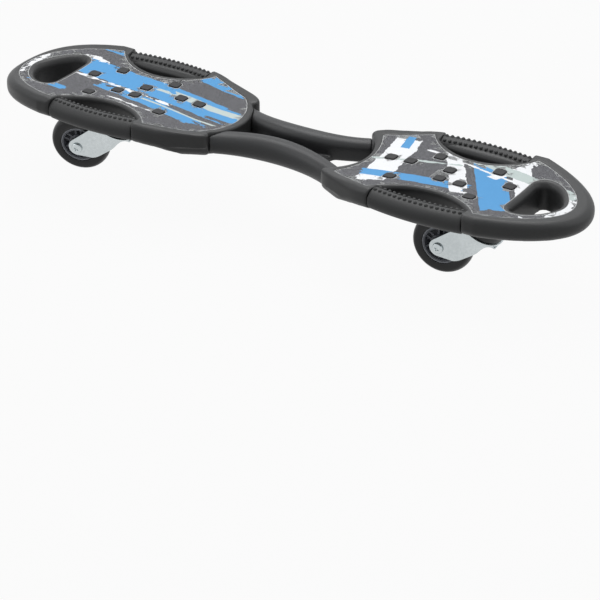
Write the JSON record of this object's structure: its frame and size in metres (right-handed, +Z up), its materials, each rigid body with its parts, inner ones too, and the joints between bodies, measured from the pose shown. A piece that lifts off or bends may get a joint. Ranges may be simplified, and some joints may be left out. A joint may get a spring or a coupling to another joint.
{
  "type": "caster board",
  "caption": "Two foot decks joined by a springy twin-arm link, each with a carry hole, padded side bars and a free-swivelling inclined caster underneath.",
  "frame": {"origin": "on the floor under the middle of the board, halfway between the nose tips", "axes": "+X forward, the way the board rolls with both wheels trailing behind their kingpins; +Y to the rider's left; +Z up"},
  "size_m": [0.84, 0.2076, 0.1377],
  "materials": {
    "deck_plastic": "fine satin texture",
    "link_plastic": "fine satin texture",
    "grip_tape": "gritty print, matt",
    "soft_grip": "matt, soft",
    "zinc_steel": "bright zinc",
    "bearing_steel": "polished",
    "hub_plastic": "satin",
    "tyre_rubber": "smooth"
  },
  "bodies": {
    "front_deck": {"front_deck": "deck_plastic", "front_grip_tape": "grip_tape", "front_side_grip_left": "soft_grip", "front_side_grip_right": "soft_grip", "front_link_bolt_1": "zinc_steel", "front_link_bolt_2": "zinc_steel", "front_link_bolt_3": "zinc_steel", "front_link_bolt_4": "zinc_steel", "front_base_plate": "zinc_steel", "front_plate_screw_1": "zinc_steel", "front_plate_screw_2": "zinc_steel", "front_plate_screw_3": "zinc_steel", "front_plate_screw_4": "zinc_steel", "front_kingpin": "zinc_steel", "front_kingpin_nut": "zinc_steel", "front_ball_ring": "bearing_steel"},
    "front_swivel": {"front_fork": "zinc_steel", "front_axle_bolt": "zinc_steel", "front_axle_nut": "zinc_steel", "front_axle_spacer_left": "zinc_steel", "front_axle_spacer_right": "zinc_steel", "front_bearing_spacer": "zinc_steel"},
    "front_wheel": {"front_wheel_hub": "hub_plastic", "front_tyre": "tyre_rubber", "front_wheel_bearing_left": "bearing_steel", "front_wheel_bearing_right": "bearing_steel"},
    "rear_deck": {"rear_deck": "deck_plastic", "rear_grip_tape": "grip_tape", "rear_side_grip_left": "soft_grip", "rear_side_grip_right": "soft_grip", "rear_link_bolt_1": "zinc_steel", "rear_link_bolt_2": "zinc_steel", "rear_link_bolt_3": "zinc_steel", "rear_link_bolt_4": "zinc_steel", "rear_base_plate": "zinc_steel", "rear_plate_screw_1": "zinc_steel", "rear_plate_screw_2": "zinc_steel", "rear_plate_screw_3": "zinc_steel", "rear_plate_screw_4": "zinc_steel", "rear_kingpin": "zinc_steel", "rear_kingpin_nut": "zinc_steel", "rear_ball_ring": "bearing_steel", "flex_link": "link_plastic"},
    "rear_swivel": {"rear_fork": "zinc_steel", "rear_axle_bolt": "zinc_steel", "rear_axle_nut": "zinc_steel", "rear_axle_spacer_left": "zinc_steel", "rear_axle_spacer_right": "zinc_steel", "rear_bearing_spacer": "zinc_steel"},
    "rear_wheel": {"rear_wheel_hub": "hub_plastic", "rear_tyre": "tyre_rubber", "rear_wheel_bearing_left": "bearing_steel", "rear_wheel_bearing_right": "bearing_steel"}
  },
  "joints": [
    {"name": "deck_twist", "type": "hinge", "parent": "rear_deck", "child": "front_deck", "pos_m": [0, 0, 0.112], "axis": [1, 0, 0], "range_deg": [-20, 20], "stiffness_Nm_per_rad": 60, "deforming": ["flex_link"]},
    {"name": "front_swivel", "type": "hinge", "parent": "front_deck", "child": "front_swivel", "pos_m": [0.279, 0, 0.07542], "axis": [0.5, 0, 0.866], "continuous": true},
    {"name": "front_wheel_spin", "type": "hinge", "parent": "front_swivel", "child": "front_wheel", "pos_m": [0.22814, -0.00231, 0.04012], "axis": [-0.0755, 0.9962, 0.0436], "continuous": true},
    {"name": "rear_swivel", "type": "hinge", "parent": "rear_deck", "child": "rear_swivel", "pos_m": [-0.267, 0, 0.07542], "axis": [0.5, 0, 0.866], "continuous": true},
    {"name": "rear_wheel_spin", "type": "hinge", "parent": "rear_swivel", "child": "rear_wheel", "pos_m": [-0.31683, -0.00819, 0.03952], "axis": [-0.2676, 0.9511, 0.1545], "continuous": true}
  ]
}
